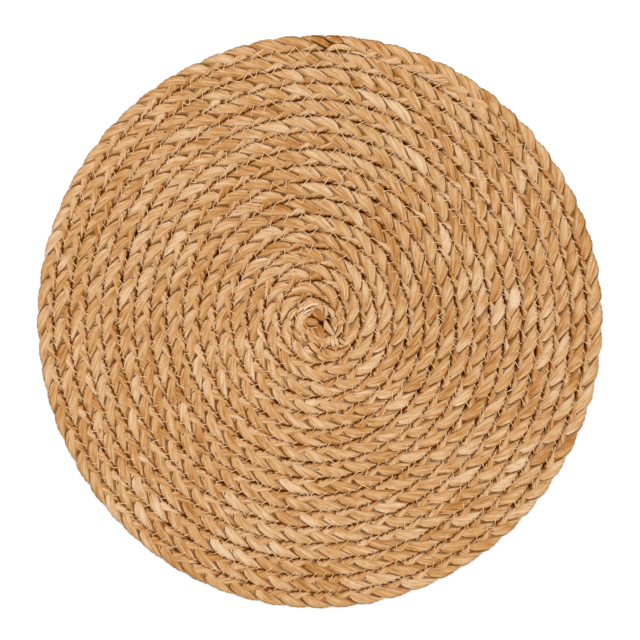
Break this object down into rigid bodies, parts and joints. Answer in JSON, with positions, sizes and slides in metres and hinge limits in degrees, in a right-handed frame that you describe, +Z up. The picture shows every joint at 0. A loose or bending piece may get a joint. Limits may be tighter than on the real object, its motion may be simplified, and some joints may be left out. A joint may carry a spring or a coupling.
{
  "type": "round braided placemat",
  "caption": "Round table placemat of plaited dry leaf fibre, wound flat in a spiral and sewn coil to coil, to lie under a plate or a dish.",
  "frame": {"origin": "middle of the mat's outline, on the surface that it lies on", "axes": "+Z up, away from the table; +Y towards the rim where the outermost coil ends, which is the top of the picture; +X to the right there"},
  "size_m": [0.3768, 0.382, 0.0084],
  "materials": {
    "leaf_fibre": "dry flat plant-leaf strands in a three-strand plait, matt with a slight sheen along the fibre, sewn with thin pale thread",
    "sewing_thread": "thin pale straw-coloured twisted thread, zigzagged across each groove"
  },
  "bodies": {
    "root": {"braid": "leaf_fibre"}
  },
  "joints": []
}
